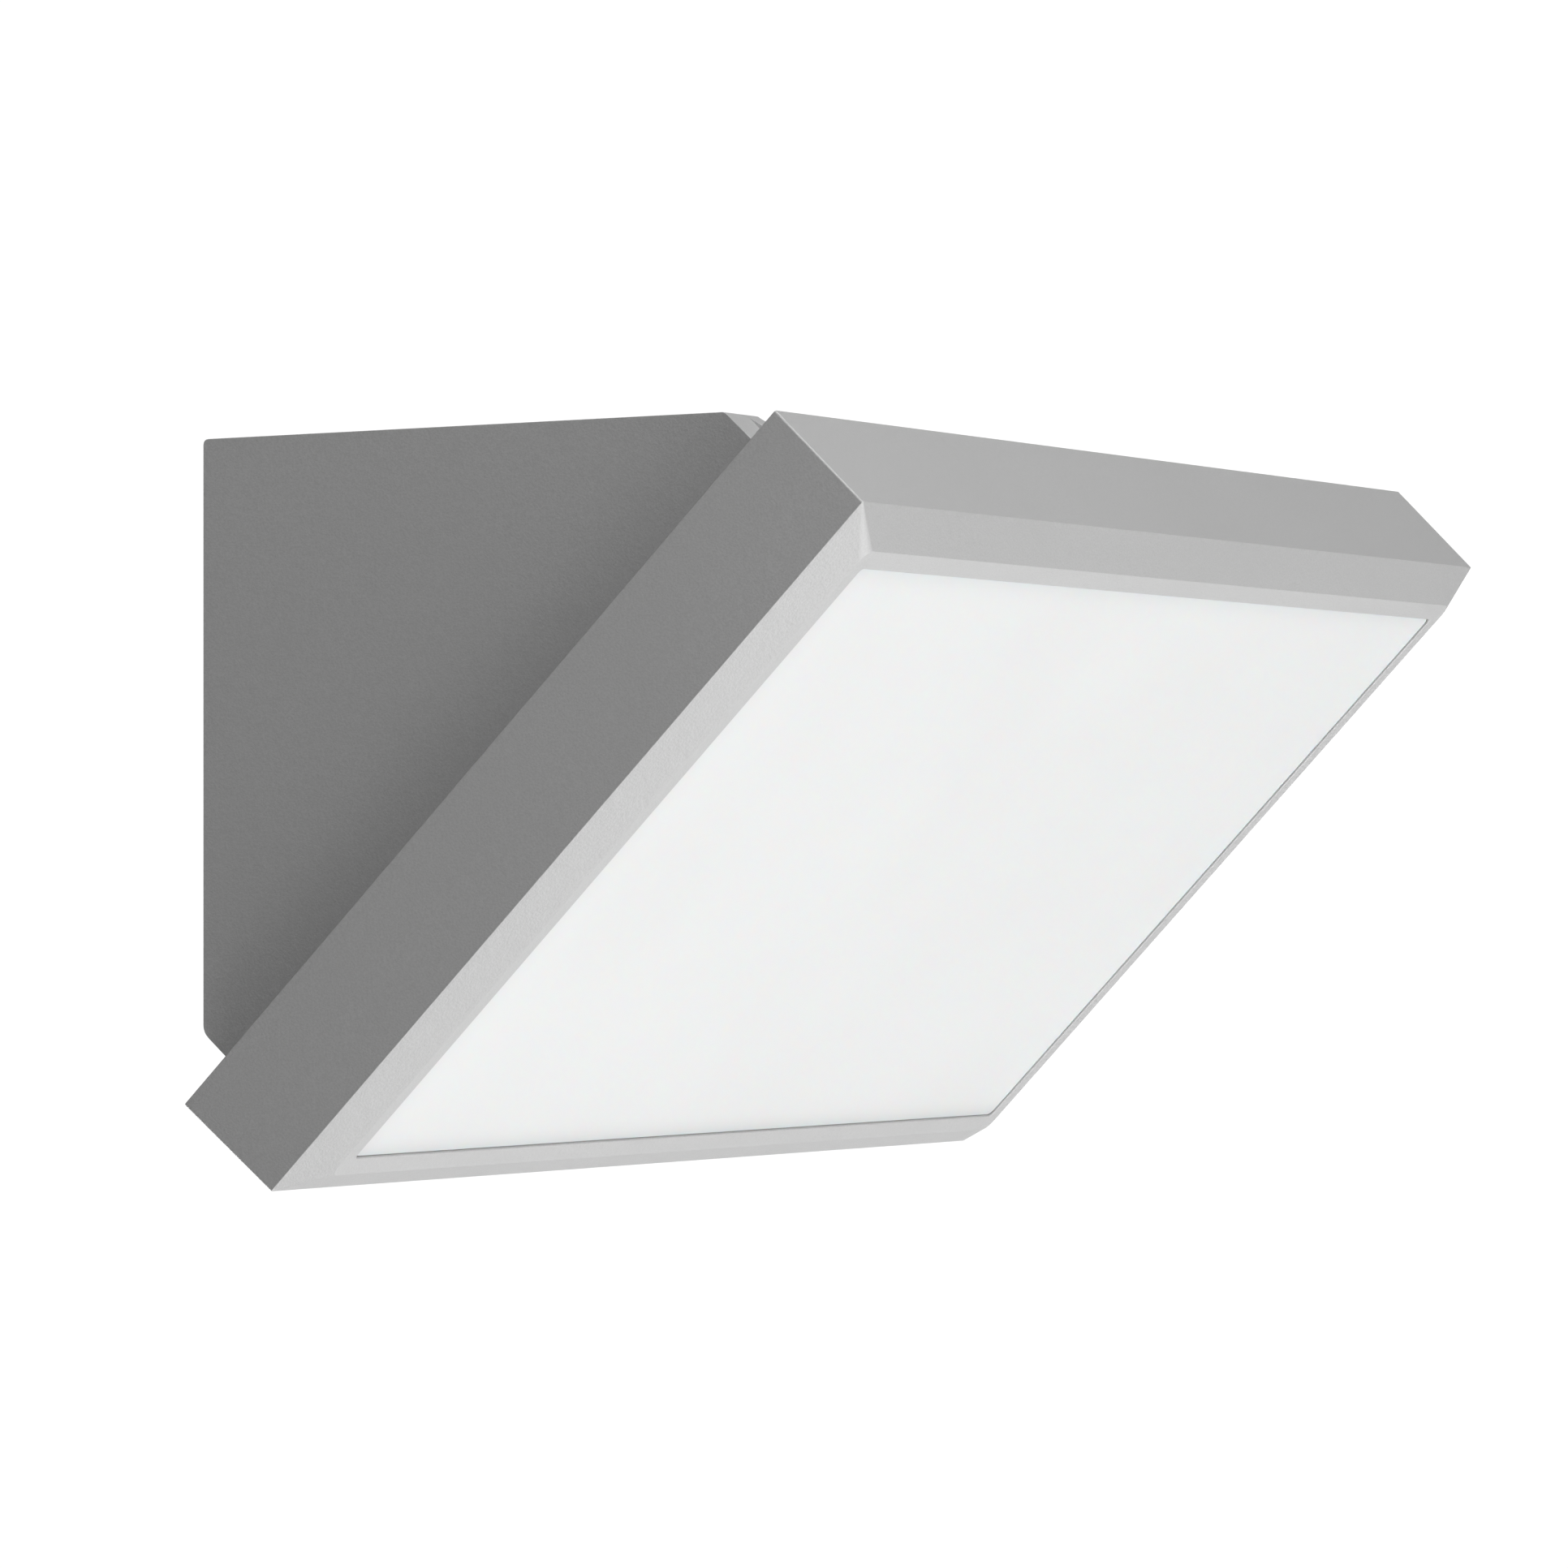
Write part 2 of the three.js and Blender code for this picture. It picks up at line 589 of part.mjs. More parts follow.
const ventPlug = turned([
  [0, -0.6], [3.2, -0.6], [3.2, -GAP], [VENT_RADIUS - GAP, -GAP], [VENT_RADIUS - GAP, BASE_WALL + GAP],
  [3.1, BASE_WALL + GAP], [2, BASE_WALL + 2], [0, BASE_WALL + 2],
]);
piece(slopeGroup, 'vent_plug', ventPlug, rubber(), [VENT_X, -CLAMP_N, BASE_BOTTOM_V], UPSLOPE);

// ---- head ----
const MIDDLE_V = HEAD_HEIGHT / 2;
const BOSS_X = HEAD_WIDTH / 2 - BOSS_OFFSET;
const BOSS_LOW = BOSS_OFFSET;
const BOSS_HIGH = HEAD_HEIGHT - BOSS_OFFSET;
const coverScrewPlaces = [-BOSS_X, 0, BOSS_X].flatMap((x) => [[x, BOSS_LOW], [x, BOSS_HIGH]]);
const TRAY_SCREW_X = 118;
const TRAY_SCREW_RISE = 15;
const trayScrewPlaces = SIDES.flatMap(
  (sx) => SIDES.map((sv) => [sx * TRAY_SCREW_X, MIDDLE_V + sv * TRAY_SCREW_RISE]));
const CLIP_X = 84;
const clipPlaces = SIDES.flatMap((side) => [[side * CLIP_X, BOSS_LOW, 1], [side * CLIP_X, BOSS_HIGH, -1]]);

function headFrame() {
  const outer = loft([
    headSection(-DRAFT, 0, HEAD_CORNER), headSection(0, HEAD_DEPTH, HEAD_CORNER),
    headSection(BEZEL_INSET, FRONT_N, BEZEL_CORNER),
  ]);
  const cavity = loft([
    headSection(HEAD_WALL, REBATE_DEPTH - 1), headSection(HEAD_WALL, HEAD_DEPTH - 1.2),
    headSection(7.6, LIP_BACK_N),
  ]);
  const rebate = loft([headSection(REBATE_WALL, -1), headSection(REBATE_WALL, REBATE_DEPTH)]);
  const window = loft([headSection(STRIP_OFFSET, LIP_BACK_N - 1), headSection(STRIP_OFFSET, FRONT_N + 1)]);
  let body = cut(outer, cavity, rebate, window);
  for (const [x, v] of coverScrewPlaces) {
    body = join(body, rod(3.2, x, REBATE_DEPTH, 16, v));
  }
  for (const [x, v] of clipPlaces) {
    body = join(body, rod(2.2, x, FLANGE_BACK_N, LIP_BACK_N - 0.4, v));
  }
  for (const [x, v] of coverScrewPlaces) {
    body = cut(body, rod(1.75, x, REBATE_DEPTH - 1, 13.5, v));
  }
  for (const [x, v] of clipPlaces) {
    body = cut(body, rod(1.35, x, FLANGE_BACK_N - 1, FLANGE_BACK_N + 2.4, v));
  }
  return body;
}

function diffuser() {
  const face = FRONT_N - DIFFUSER_RECESS;
  const offset = STRIP_OFFSET + GAP;
  const raised = loft([
    headSection(offset, FLANGE_BACK_N + 0.5, 2), headSection(offset, face - 0.3, 2),
    headSection(offset + 0.3, face, 1.8),
  ]);
  const flange = loft([
    headSection(FLANGE_OFFSET, FLANGE_BACK_N, 2), headSection(FLANGE_OFFSET, FLANGE_FRONT_N, 2),
  ]);
  const pocketOffset = offset + DIFFUSER_WALL;
  const pocket = loft([
    headSection(pocketOffset, FLANGE_BACK_N - 1, 1.2),
    headSection(pocketOffset, face - DIFFUSER_WALL, 1.2),
  ]);
  return cut(join(raised, flange), pocket);
}

function rearCover() {
  const edge = REBATE_WALL + GAP;
  const sheet = loft([headSection(edge, COVER_BACK_N), headSection(edge, COVER_FRONT_N)]);
  const countersink = [[0, -1], [3.3, -1], [3.3, 0.4], [1.8, 1.9], [1.8, 4], [0, 4]];
  const holes = coverScrewPlaces.map(
    ([x, v]) => placed(turned(countersink), [x, -COVER_BACK_N, v], OUTWARDS));
  let body = cut(sheet, ...holes, rod(5, 0, -1, COVER_FRONT_N + 1, LEAD_V));
  for (const side of SIDES) {
    const [low, high] = fromSide(side, NOTCH_START + (NOTCH_WIDTH - KNUCKLE_WIDTH) / 2, KNUCKLE_WIDTH);
    const barrel = crossRod(KNUCKLE_RADIUS, low, high, HINGE_N, HINGE_V, 20);
    const web = block(
      [low, HINGE_N, HINGE_V - KNUCKLE_RADIUS], [high, COVER_BACK_N + 0.5, HINGE_V + 2.6]);
    const bore = crossRod(PIN_RADIUS + GAP, low - 1, high + 1, HINGE_N, HINGE_V);
    body = cut(join(body, barrel, web), bore);
    const forkV = BASE_BOTTOM_V + BASE_WALL + 0.6;
    const fork = block(
      [side * CLAMP_X - 7, -9.2, forkV], [side * CLAMP_X + 7, COVER_BACK_N + 0.5, forkV + 2]);
    const slot = block(
      [side * CLAMP_X - 1.9, -12, forkV - 1], [side * CLAMP_X + 1.9, CLAMP_N + 1.9, forkV + 3]);
    body = join(body, cut(fork, slot));
  }
  for (const [x, v] of trayScrewPlaces) {
    body = cut(join(body, rod(3.4, x, COVER_FRONT_N - 0.5, TRAY_BACK_N - GAP, v)),
      rod(1.75, x, COVER_FRONT_N - 0.4, TRAY_BACK_N + 1, v));
  }
  return body;
}

function reflectorTray() {
  const rimBack = 16.3;
  const outer = loft([headSection(17, TRAY_BACK_N, 2), headSection(13.4, rimBack, 2)]);
  const rim = loft([headSection(9.6, rimBack, 2), headSection(9.6, rimBack + 1, 2)]);
  const inner = loft([headSection(18, TRAY_BACK_N + TRAY_FLOOR, 2), headSection(14.1, rimBack + 1.5, 2)]);
  const holes = trayScrewPlaces.map(([x, v]) => rod(1.8, x, TRAY_BACK_N - 1, TRAY_BACK_N + 3, v));
  return cut(join(outer, rim), inner, ...holes, rod(3.6, 0, TRAY_BACK_N - 1, TRAY_BACK_N + 3, LEAD_V));
}

const STRIP_LENGTH = 250;
const STRIP_HALF_WIDTH = 5.5;
const STRIP_SPACING = 31;
const LEDS_PER_STRIP = 10;
function ledStrip() {
  let body = block([-STRIP_LENGTH / 2, 0, -STRIP_HALF_WIDTH], [STRIP_LENGTH / 2, 1.6, STRIP_HALF_WIDTH]);
  for (let i = 0; i < LEDS_PER_STRIP; i += 1) {
    const x = (i + 0.5 - LEDS_PER_STRIP / 2) * STRIP_LENGTH / LEDS_PER_STRIP;
    body = join(body, block([x - 1.5, 1.4, -1.5], [x + 1.5, 2.3, 1.5]));
  }
  return body;
}

piece(head, 'head_frame', headFrame(), powderCoat());
piece(head, 'diffuser', diffuser(), opal());
piece(head, 'diffuser_gasket',
  ring(headSection, FLANGE_OFFSET, FLANGE_OFFSET + 2.2, FLANGE_FRONT_N + GAP, LIP_BACK_N - GAP), rubber());
piece(head, 'cover_gasket',
  ring(headSection, REBATE_WALL + GAP, 3.8, COVER_FRONT_N + GAP, REBATE_DEPTH - GAP), rubber());
piece(head, 'rear_cover', rearCover(), powderCoat());
piece(head, 'reflector_tray', reflectorTray(), whiteSheet());

[-1, 0, 1].forEach((row, i) => {
  piece(head, `led_strip_${i + 1}`, ledStrip(), whiteSheet(),
    [0, -(TRAY_BACK_N + TRAY_FLOOR + GAP), MIDDLE_V + row * STRIP_SPACING]);
});
coverScrewPlaces.forEach(([x, v], i) => {
  piece(head, `cover_screw_${i + 1}`, screw(flatScrewM3), stainless(), [x, -COVER_BACK_N - 0.1, v], OUTWARDS);
});
trayScrewPlaces.forEach(([x, v], i) => {
  piece(head, `tray_screw_${i + 1}`, screw({ ...panScrewM3, length: 6 }), zincSteel(),
    [x, -(TRAY_BACK_N + TRAY_FLOOR + GAP + panScrewM3.headHeight), v]);
});

const CLIP_THICKNESS = 1;
const CLIP_FRONT_N = FLANGE_BACK_N - GAP;
const clipScrew = { headRadius: 2.2, headHeight: 1.6, shankRadius: 1.05, length: 5.2 };
clipPlaces.forEach(([x, v, inwards], i) => {
  const heel = -2.1 * inwards;
  const toe = 5.6 * inwards;
  const clip = cut(
    block([-4.5, 0, Math.min(heel, toe)], [4.5, CLIP_THICKNESS, Math.max(heel, toe)]),
    rod(1.35, 0, -1, 3, 0));
  piece(head, `diffuser_clip_${i + 1}`, clip, stainless(), [x, -(CLIP_FRONT_N - CLIP_THICKNESS), v]);
  piece(head, `clip_screw_${i + 1}`, screw(clipScrew), stainless(),
    [x, -(CLIP_FRONT_N - CLIP_THICKNESS - GAP - clipScrew.headHeight), v], OUTWARDS);
});

const leadGrommet = turned([
  [2.4, -1.3], [5.4, -1.3], [6.2, -0.6], [6.2, 0], [4.7, 0], [4.7, COVER_FRONT_N + GAP],
  [6.2, COVER_FRONT_N + GAP], [6.2, COVER_FRONT_N + 1.4], [2.4, COVER_FRONT_N + 1.4], [2.4, -1.3],
]);
piece(head, 'lead_grommet', leadGrommet, rubber(), [0, 0, LEAD_V], OUTWARDS);

// lead from the driver to the light boards, with slack for the open head
function jumperLead() {
  const onSlope = (x, v, n) => [x, ...slope(v, n)];
  return tube([
    [DRIVER.x + GAP, -14, DRIVER.z + 5],
    [DRIVER.x + 9, -14, DRIVER.z + 5],
    [DRIVER.x + 14, -26, DRIVER.z - 4],
    [DRIVER.x - 2, -40, DRIVER.z - 16],
    [DRIVER.x - 32, -44, DRIVER.z - 14],
    [8, -48, DRIVER.z - 2],
    onSlope(0, LEAD_V, -12),
    onSlope(0, LEAD_V, -4),
    onSlope(0, LEAD_V, TRAY_BACK_N + 2.4),
  ], 1.9, 44);
}
piece(housing, 'jumper_lead', jumperLead(), plainPlastic(0xe4e4e2));

export default lantern;
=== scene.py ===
import json
import math

import bmesh
import bpy
from mathutils import Matrix, Vector


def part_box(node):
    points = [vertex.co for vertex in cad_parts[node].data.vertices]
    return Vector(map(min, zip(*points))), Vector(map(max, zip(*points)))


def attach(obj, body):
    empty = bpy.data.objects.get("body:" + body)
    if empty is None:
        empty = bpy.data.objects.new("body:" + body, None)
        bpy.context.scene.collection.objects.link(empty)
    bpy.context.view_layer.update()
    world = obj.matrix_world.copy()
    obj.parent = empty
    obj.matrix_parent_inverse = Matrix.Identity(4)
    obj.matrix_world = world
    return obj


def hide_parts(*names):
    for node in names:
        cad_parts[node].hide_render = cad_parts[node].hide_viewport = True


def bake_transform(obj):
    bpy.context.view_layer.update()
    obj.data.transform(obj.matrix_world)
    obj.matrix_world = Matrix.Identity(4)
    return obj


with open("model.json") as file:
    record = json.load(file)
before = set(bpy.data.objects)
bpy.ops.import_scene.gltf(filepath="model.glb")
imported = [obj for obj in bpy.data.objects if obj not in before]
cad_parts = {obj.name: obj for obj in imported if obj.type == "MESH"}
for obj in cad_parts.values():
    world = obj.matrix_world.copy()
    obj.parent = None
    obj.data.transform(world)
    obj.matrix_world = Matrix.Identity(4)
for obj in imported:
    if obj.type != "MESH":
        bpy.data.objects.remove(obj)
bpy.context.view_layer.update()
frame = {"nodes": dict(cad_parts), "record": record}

MM = 0.001

# ---- the head's own axes: x, v up its slope, n outwards from its back edge ----
TILT = math.radians(43.43)
HEAD_WIDTH = 300 * MM
HEAD_HEIGHT = 151.4 * MM
HEAD_DEPTH = 20.85 * MM
BEZEL_INSET = 6.84 * MM
BEZEL_RISE = 3.72 * MM
BEZEL_STRIP = 3.8 * MM
DIFFUSER_RECESS = 0.4 * MM
DRAFT = 0.55 * MM
FRONT_N = HEAD_DEPTH + BEZEL_RISE
STRIP_OFFSET = BEZEL_INSET + BEZEL_STRIP
SLOPE_ORIGIN = Vector((0, -3 * MM, -59.8 * MM))
SLOPE = Matrix.Translation(SLOPE_ORIGIN) @ Matrix.Rotation(TILT, 4, "X")
UP_SLOPE = Vector((0, -math.sin(TILT), math.cos(TILT)))


def slope_point(x, v, n):
    """Room position of a point on the head's slope."""
    return SLOPE @ Vector((x, -n, v))


# ---- camera ----
CAMERA_FROM_CORNER = Vector((-1233.7, -634.18, 34.44)) * MM  # from the head's lowest left back corner
CAMERA_YAW = math.radians(66.811)
CAMERA_PITCH = math.radians(0.716)
CAMERA_ROLL = math.radians(-0.049)


def add_camera():
    data = bpy.data.cameras.new("camera")
    data.lens = 195.03
    data.sensor_width = 36
    data.clip_start = 0.01
    camera = bpy.data.objects.new("camera", data)
    place = slope_point(-HEAD_WIDTH / 2, 0, 0) + CAMERA_FROM_CORNER
    facing = Matrix.Rotation(-CAMERA_YAW, 4, "Z") @ Matrix.Rotation(math.pi / 2 + CAMERA_PITCH, 4, "X")
    camera.matrix_world = Matrix.Translation(place) @ facing @ Matrix.Rotation(CAMERA_ROLL, 4, "Z")
    bpy.context.collection.objects.link(camera)
    bpy.context.scene.camera = camera


add_camera()


# ---- node helpers ----
class Nodes:
    """Short calls for building a material's node tree."""

    def __init__(self, tree):
        self.tree = tree

    def add(self, kind, **settings):
        node = self.tree.nodes.new(kind)
        for name, value in settings.items():
            setattr(node, name, value)
        return node

    def link(self, source, target):
        self.tree.links.new(source, target)

    def feed(self, value, socket):
        """Links a socket, or sets a colour or number."""
        if isinstance(value, bpy.types.NodeSocket):
            self.link(value, socket)
        elif isinstance(value, tuple):
            socket.default_value = (*value, 1)
        else:
            socket.default_value = value

    def place(self):
        """Position on the piece itself, in metres."""
        return self.add("ShaderNodeTexCoord").outputs["Object"]

    def noise(self, scale, detail=2.0, roughness=0.5, stretch=None):
        node = self.add("ShaderNodeTexNoise")
        node.inputs["Scale"].default_value = scale
        node.inputs["Detail"].default_value = detail
        node.inputs["Roughness"].default_value = roughness
        place = self.place()
        if stretch:
            mapping = self.add("ShaderNodeMapping")
            mapping.inputs["Scale"].default_value = stretch
            self.link(place, mapping.inputs["Vector"])
            place = mapping.outputs["Vector"]
        self.link(place, node.inputs["Vector"])
        return node.outputs["Fac"]

    def spread(self, value, low, high, start=0.3, end=0.7):
        """value between start and end, mapped to low and high."""
        node = self.add("ShaderNodeMapRange")
        for name, number in (("From Min", start), ("From Max", end), ("To Min", low), ("To Max", high)):
            node.inputs[name].default_value = number
        self.link(value, node.inputs["Value"])
        return node.outputs["Result"]

    def mix(self, factor, first, second):
        node = self.add("ShaderNodeMix", data_type="RGBA")
        self.feed(factor, node.inputs["Factor"])
        self.feed(first, node.inputs["A"])
        self.feed(second, node.inputs["B"])
        return node.outputs["Result"]

    def math(self, operation, first, second):
        node = self.add("ShaderNodeMath", operation=operation)
        self.feed(first, node.inputs[0])
        self.feed(second, node.inputs[1])
        return node.outputs["Value"]

    def near_edge(self, inwards, edge_point, reach, depth):
        """depth at an edge, falling to nothing at reach inwards from it."""
        along = self.add("ShaderNodeVectorMath", operation="DOT_PRODUCT")
        self.link(self.place(), along.inputs[0])
        along.inputs[1].default_value = inwards
        edge = edge_point.dot(inwards)
        closeness = self.spread(along.outputs["Value"], 1, 0, edge, edge + reach)
        return self.math("MULTIPLY", self.math("POWER", closeness, 3.0), depth)

    def bump(self, height, distance, under=None):
        node = self.add("ShaderNodeBump")
        node.inputs["Distance"].default_value = distance
        self.link(height, node.inputs["Height"])
        if under:
            self.link(under, node.inputs["Normal"])
        return node.outputs["Normal"]


def new_material(name, **constants):
    """A Principled material with its constant sockets set; returns it, its shader and its Nodes."""
    material = bpy.data.materials.new(name)
    material.use_nodes = True
    nodes = Nodes(material.node_tree)
    shader = material.node_tree.nodes["Principled BSDF"]
    for socket, value in constants.items():
        shader.inputs[socket.replace("_", " ")].default_value = value
    return material, shader, nodes


def grey(value):
    return (value, value, value)


# ---- materials ----
def powder_coat(name, tone=0.51, roughness=0.42):
    """Silver-grey powder coat: a sandy grain of about half a millimetre over a soft orange peel."""
    material, shader, n = new_material(name, Metallic=0.1)
    grain = n.noise(2600, 2.0, 0.6)
    peel = n.noise(420, 1.0)
    cloud = n.noise(28, 3.0)
    base = n.mix(n.spread(grain, 0, 1), grey(tone * 0.93), grey(tone * 1.07))
    base = n.mix(n.spread(cloud, 0, 0.35), base, grey(tone * 0.95))
    n.link(base, shader.inputs["Base Color"])
    n.link(n.spread(grain, roughness - 0.05, roughness + 0.07), shader.inputs["Roughness"])
    n.link(n.bump(grain, 0.06 * MM, n.bump(peel, 0.05 * MM)), shader.inputs["Normal"])
    return material


def opal_plastic():
    """Opal diffuser: satin white that lets a little light through, with painted shade greying it towards its
    edges, most along the bottom.
    """
    material, shader, n = new_material(
        "opal", Subsurface_Weight=0.25, Subsurface_Scale=0.004, Coat_Weight=0.15, Coat_Roughness=0.15)
    fine = n.noise(5200, 1.0)
    cloud = n.noise(16, 2.0)
    low_left = slope_point(STRIP_OFFSET - HEAD_WIDTH / 2, STRIP_OFFSET, FRONT_N)
    high_right = slope_point(HEAD_WIDTH / 2 - STRIP_OFFSET, HEAD_HEIGHT - STRIP_OFFSET, FRONT_N)
    # painted shade: the panel's margins are darkened where the frame's lip and seal keep light off it,
    # deepest and widest along the bottom edge
    bottom = n.near_edge(UP_SLOPE, low_left, 7 * MM, 0.15)
    low_band = n.near_edge(UP_SLOPE, low_left, 35 * MM, 0.035)
    top = n.near_edge(-UP_SLOPE, high_right, 8 * MM, 0.07)
    left = n.near_edge(Vector((1, 0, 0)), low_left, 9 * MM, 0.07)
    right = n.near_edge(Vector((-1, 0, 0)), high_right, 7 * MM, 0.05)
    # the four edges' painted shade, summed and mixed towards black over the white
    shade = n.math("ADD", n.math("ADD", bottom, low_band), top)
    shade = n.math("ADD", shade, n.math("ADD", left, right))
    white = n.mix(n.spread(cloud, 0, 1), grey(0.815), grey(0.833))
    n.link(n.mix(shade, white, grey(0.0)), shader.inputs["Base Color"])
    n.link(n.spread(fine, 0.34, 0.44), shader.inputs["Roughness"])
    n.link(n.bump(fine, 0.01 * MM), shader.inputs["Normal"])
    return material


def moulded_plastic(name, colour, roughness=0.42, grain_depth=0.03):
    """Injection-moulded plastic with a fine spark-eroded texture and slight shade changes."""
    material, shader, n = new_material(name)
    grain = n.noise(1900, 2.0)
    cloud = n.noise(45, 3.0)
    darker = tuple(c * 0.9 for c in colour)
    n.link(n.mix(n.spread(cloud, 0, 1), darker, colour), shader.inputs["Base Color"])
    n.link(n.spread(grain, roughness - 0.06, roughness + 0.08), shader.inputs["Roughness"])
    n.link(n.bump(grain, grain_depth * MM), shader.inputs["Normal"])
    return material


def sealing_rubber():
    """Black rubber with a dusty bloom."""
    material, shader, n = new_material("rubber")
    bloom = n.noise(160, 4.0, 0.65)
    grain = n.noise(2400, 1.0)
    n.link(n.mix(n.spread(bloom, 0, 1), grey(0.016), grey(0.04)), shader.inputs["Base Color"])
    n.link(n.spread(bloom, 0.6, 0.85), shader.inputs["Roughness"])
    n.link(n.bump(grain, 0.03 * MM), shader.inputs["Normal"])
    return material


def plated_metal(name, light, dark, roughness, stretch=(1, 1, 1)):
    """Bright metal with drawn or brushed streaks, a patchy shade and fine scratches."""
    material, shader, n = new_material(name, Metallic=1.0)
    streaks = n.noise(900, 3.0, 0.6, stretch)
    patches = n.noise(70, 3.0)
    n.link(n.mix(n.spread(patches, 0, 1), dark, light), shader.inputs["Base Color"])
    n.link(n.spread(streaks, roughness - 0.08, roughness + 0.12), shader.inputs["Roughness"])
    n.link(n.bump(streaks, 0.008 * MM), shader.inputs["Normal"])
    return material


MATERIALS = {
    "powder_coat": powder_coat("powder_coat"),
    "powder_coat_edge": powder_coat("powder_coat_edge", tone=0.535, roughness=0.38),
    "opal": opal_plastic(),
    "rubber": sealing_rubber(),
    "zinc_steel": plated_metal("zinc_steel", (0.66, 0.67, 0.69), (0.5, 0.51, 0.54), 0.34, (1, 1, 12)),
    "stainless": plated_metal("stainless", (0.68, 0.68, 0.69), (0.54, 0.54, 0.55), 0.26, (12, 1, 1)),
    "brass": plated_metal("brass", (0.78, 0.57, 0.25), (0.58, 0.4, 0.16), 0.3),
    "white_plastic": moulded_plastic("white_plastic", (0.8, 0.8, 0.77)),
    "label_film": moulded_plastic("label_film", (0.62, 0.66, 0.7), 0.25, 0.004),
    "light_board": moulded_plastic("light_board", (0.84, 0.85, 0.84), 0.3, 0.01),
    "lead_brown": moulded_plastic("lead_brown", (0.16, 0.06, 0.03), 0.35, 0.01),
    "lead_blue": moulded_plastic("lead_blue", (0.03, 0.14, 0.42), 0.35, 0.01),
    "lead_white": moulded_plastic("lead_white", (0.72, 0.72, 0.7), 0.38, 0.01),
}
NODE_SLOTS = {row["node"]: row["material_slot"] for row in frame["record"]["subparts"]}
NODE_BODIES = {
    node: body for body, nodes in frame["record"]["behaviour"]["bodies"].items() for node in nodes}


# ---- pieces ----
def new_piece(name, mesh, body, materials, replaced=()):
    """Links a mesh as a piece that rides on a body and, if it replaces CAD nodes, hides them."""
    piece = bpy.data.objects.new(name, mesh)
    bpy.context.collection.objects.link(piece)
    for material in materials:
        mesh.materials.append(MATERIALS[material])
    if body:
        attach(piece, body)
    if replaced:
        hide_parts(*replaced)
    return piece


def smooth(piece, width=None, segments=2, edge_slot=-1, clamp=True):
    """Rounds a piece's sharp edges and shades its flat faces flat."""
    for polygon in piece.data.polygons:
        polygon.use_smooth = True
    if width:
        bevel = piece.modifiers.new("rounded_edges", "BEVEL")
        bevel.width = width
        bevel.segments = segments
        bevel.limit_method = "ANGLE"
        bevel.angle_limit = math.radians(35)
        bevel.material = edge_slot
        bevel.use_clamp_overlap = clamp
    weighted = piece.modifiers.new("flat_faces", "WEIGHTED_NORMAL")
    weighted.keep_sharp = True
    weighted.weight = 100


def refined(node, width, materials=None, segments=2, shortest=0.0):
    """A copy of a CAD node with whole flat faces and rounded edges.

    Edges under the shortest length are closed up first.
    """
    bm = bmesh.new()
    bm.from_mesh(frame["nodes"][node].data)
    bmesh.ops.remove_doubles(bm, verts=bm.verts, dist=0.002 * MM)
    bmesh.ops.dissolve_limit(
        bm, angle_limit=math.radians(0.6), verts=bm.verts, edges=bm.edges, delimit={"NORMAL"})
    if shortest:
        bmesh.ops.remove_doubles(bm, verts=bm.verts, dist=shortest)
    mesh = bpy.data.meshes.new(node + "_finished")
    bm.to_mesh(mesh)
    bm.free()
    slot = NODE_SLOTS[node]
    piece = new_piece(mesh.name, mesh, NODE_BODIES[node], materials or [slot], (node,))
    smooth(piece, width, segments, 1 if materials else -1, not shortest)
    return piece


def filleted(corners, steps=4):
    """A profile of (offset, n) points from corners (offset, n, fillet radius), and where its fillets are."""
    points = []
    for i, (offset, n, radius) in enumerate(corners):
        at = Vector((offset, n))
        if not radius:
            points.append((at, False))
            continue
        before = (Vector(corners[i - 1][:2]) - at).normalized()
        after = (Vector(corners[(i + 1) % len(corners)][:2]) - at).normalized()
        half = before.angle(after) / 2
        centre = at + (before + after).normalized() * (radius / math.sin(half))
        reach = radius / math.tan(half)
        first = at + before * reach - centre
        last = at + after * reach - centre
        for step in range(steps + 1):
            direction = first.lerp(last, step / steps).normalized()
            points.append((centre + direction * radius, step < steps))
    return points


def frame_corner_radius(offset):
    """Corner radius of the head's outline at an offset inwards from it."""
    outer, bezel, window = 0.35 * MM, 2.4 * MM, 1.0 * MM
    if offset <= 0:
        return outer
    if offset <= BEZEL_INSET:
        return outer + (bezel - outer) * offset / BEZEL_INSET
    return bezel + (window - bezel) * min(1, (offset - BEZEL_INSET) / BEZEL_STRIP)


def rounded_outline(width, height, radius, steps=6):
    """Points of a rounded rectangle round its centre, counter-clockwise."""
    points = []
    for quarter, (side, end) in enumerate(((1, 1), (-1, 1), (-1, -1), (1, -1))):
        for step in range(steps + 1):
            angle = (quarter + step / steps) * math.pi / 2
            points.append((
                side * (width / 2 - radius) + radius * math.cos(angle),
                end * (height / 2 - radius) + radius * math.sin(angle)))
    return points


def swept_frame(name, corners, radius_at, closed=True, shift=0.0):
    """A mesh swept round the head's outline from a profile; an open profile's two ends are capped."""
    profile = filleted(corners)
    bm = bmesh.new()
    rings = []
    for (offset, n), _ in profile:
        outline = rounded_outline(HEAD_WIDTH - 2 * offset, HEAD_HEIGHT - 2 * offset, radius_at(offset))
        rings.append([bm.verts.new(slope_point(x + shift, v + HEAD_HEIGHT / 2, n)) for x, v in outline])
    count = len(rings[0])
    for i in range(len(rings) if closed else len(rings) - 1):
        ring, following = rings[i], rings[(i + 1) % len(rings)]
        for j in range(count):
            k = (j + 1) % count
            face = bm.faces.new((ring[j], ring[k], following[k], following[j]))
            face.material_index = 1 if profile[i][1] else 0
    if not closed:
        bm.faces.new(rings[0])
        bm.faces.new(rings[-1])
    bmesh.ops.recalc_face_normals(bm, faces=bm.faces)
    mesh = bpy.data.meshes.new(name)
    bm.to_mesh(mesh)
    bm.free()
    return mesh


